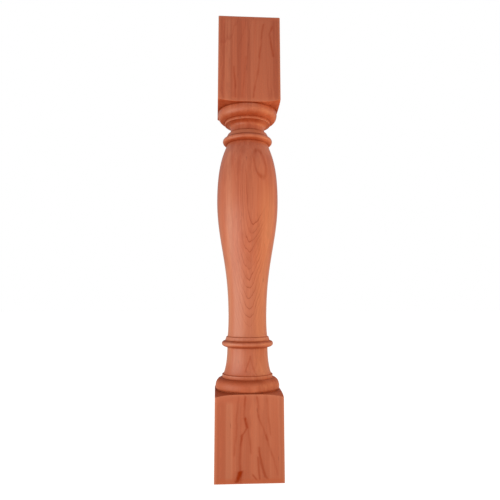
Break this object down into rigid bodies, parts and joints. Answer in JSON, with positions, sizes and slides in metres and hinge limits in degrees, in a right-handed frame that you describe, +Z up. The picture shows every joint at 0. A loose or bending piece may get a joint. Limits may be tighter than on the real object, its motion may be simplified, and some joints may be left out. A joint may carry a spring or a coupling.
{
  "type": "turned wooden post",
  "caption": "Turned cherry post with square foot and head blocks and a vase-shaped stem between ring mouldings, to stand under a worktop or an island corner.",
  "frame": {"origin": "middle of the underside, on the floor", "axes": "+Z up along the post's axis; -Y out of the front face of the square blocks; +X to the right seen from the front"},
  "size_m": [0.126, 0.126, 0.895],
  "materials": {
    "cherry_wood": "sanded smooth, dull satin"
  },
  "bodies": {
    "root": {"turned_post": "cherry_wood"}
  },
  "joints": []
}
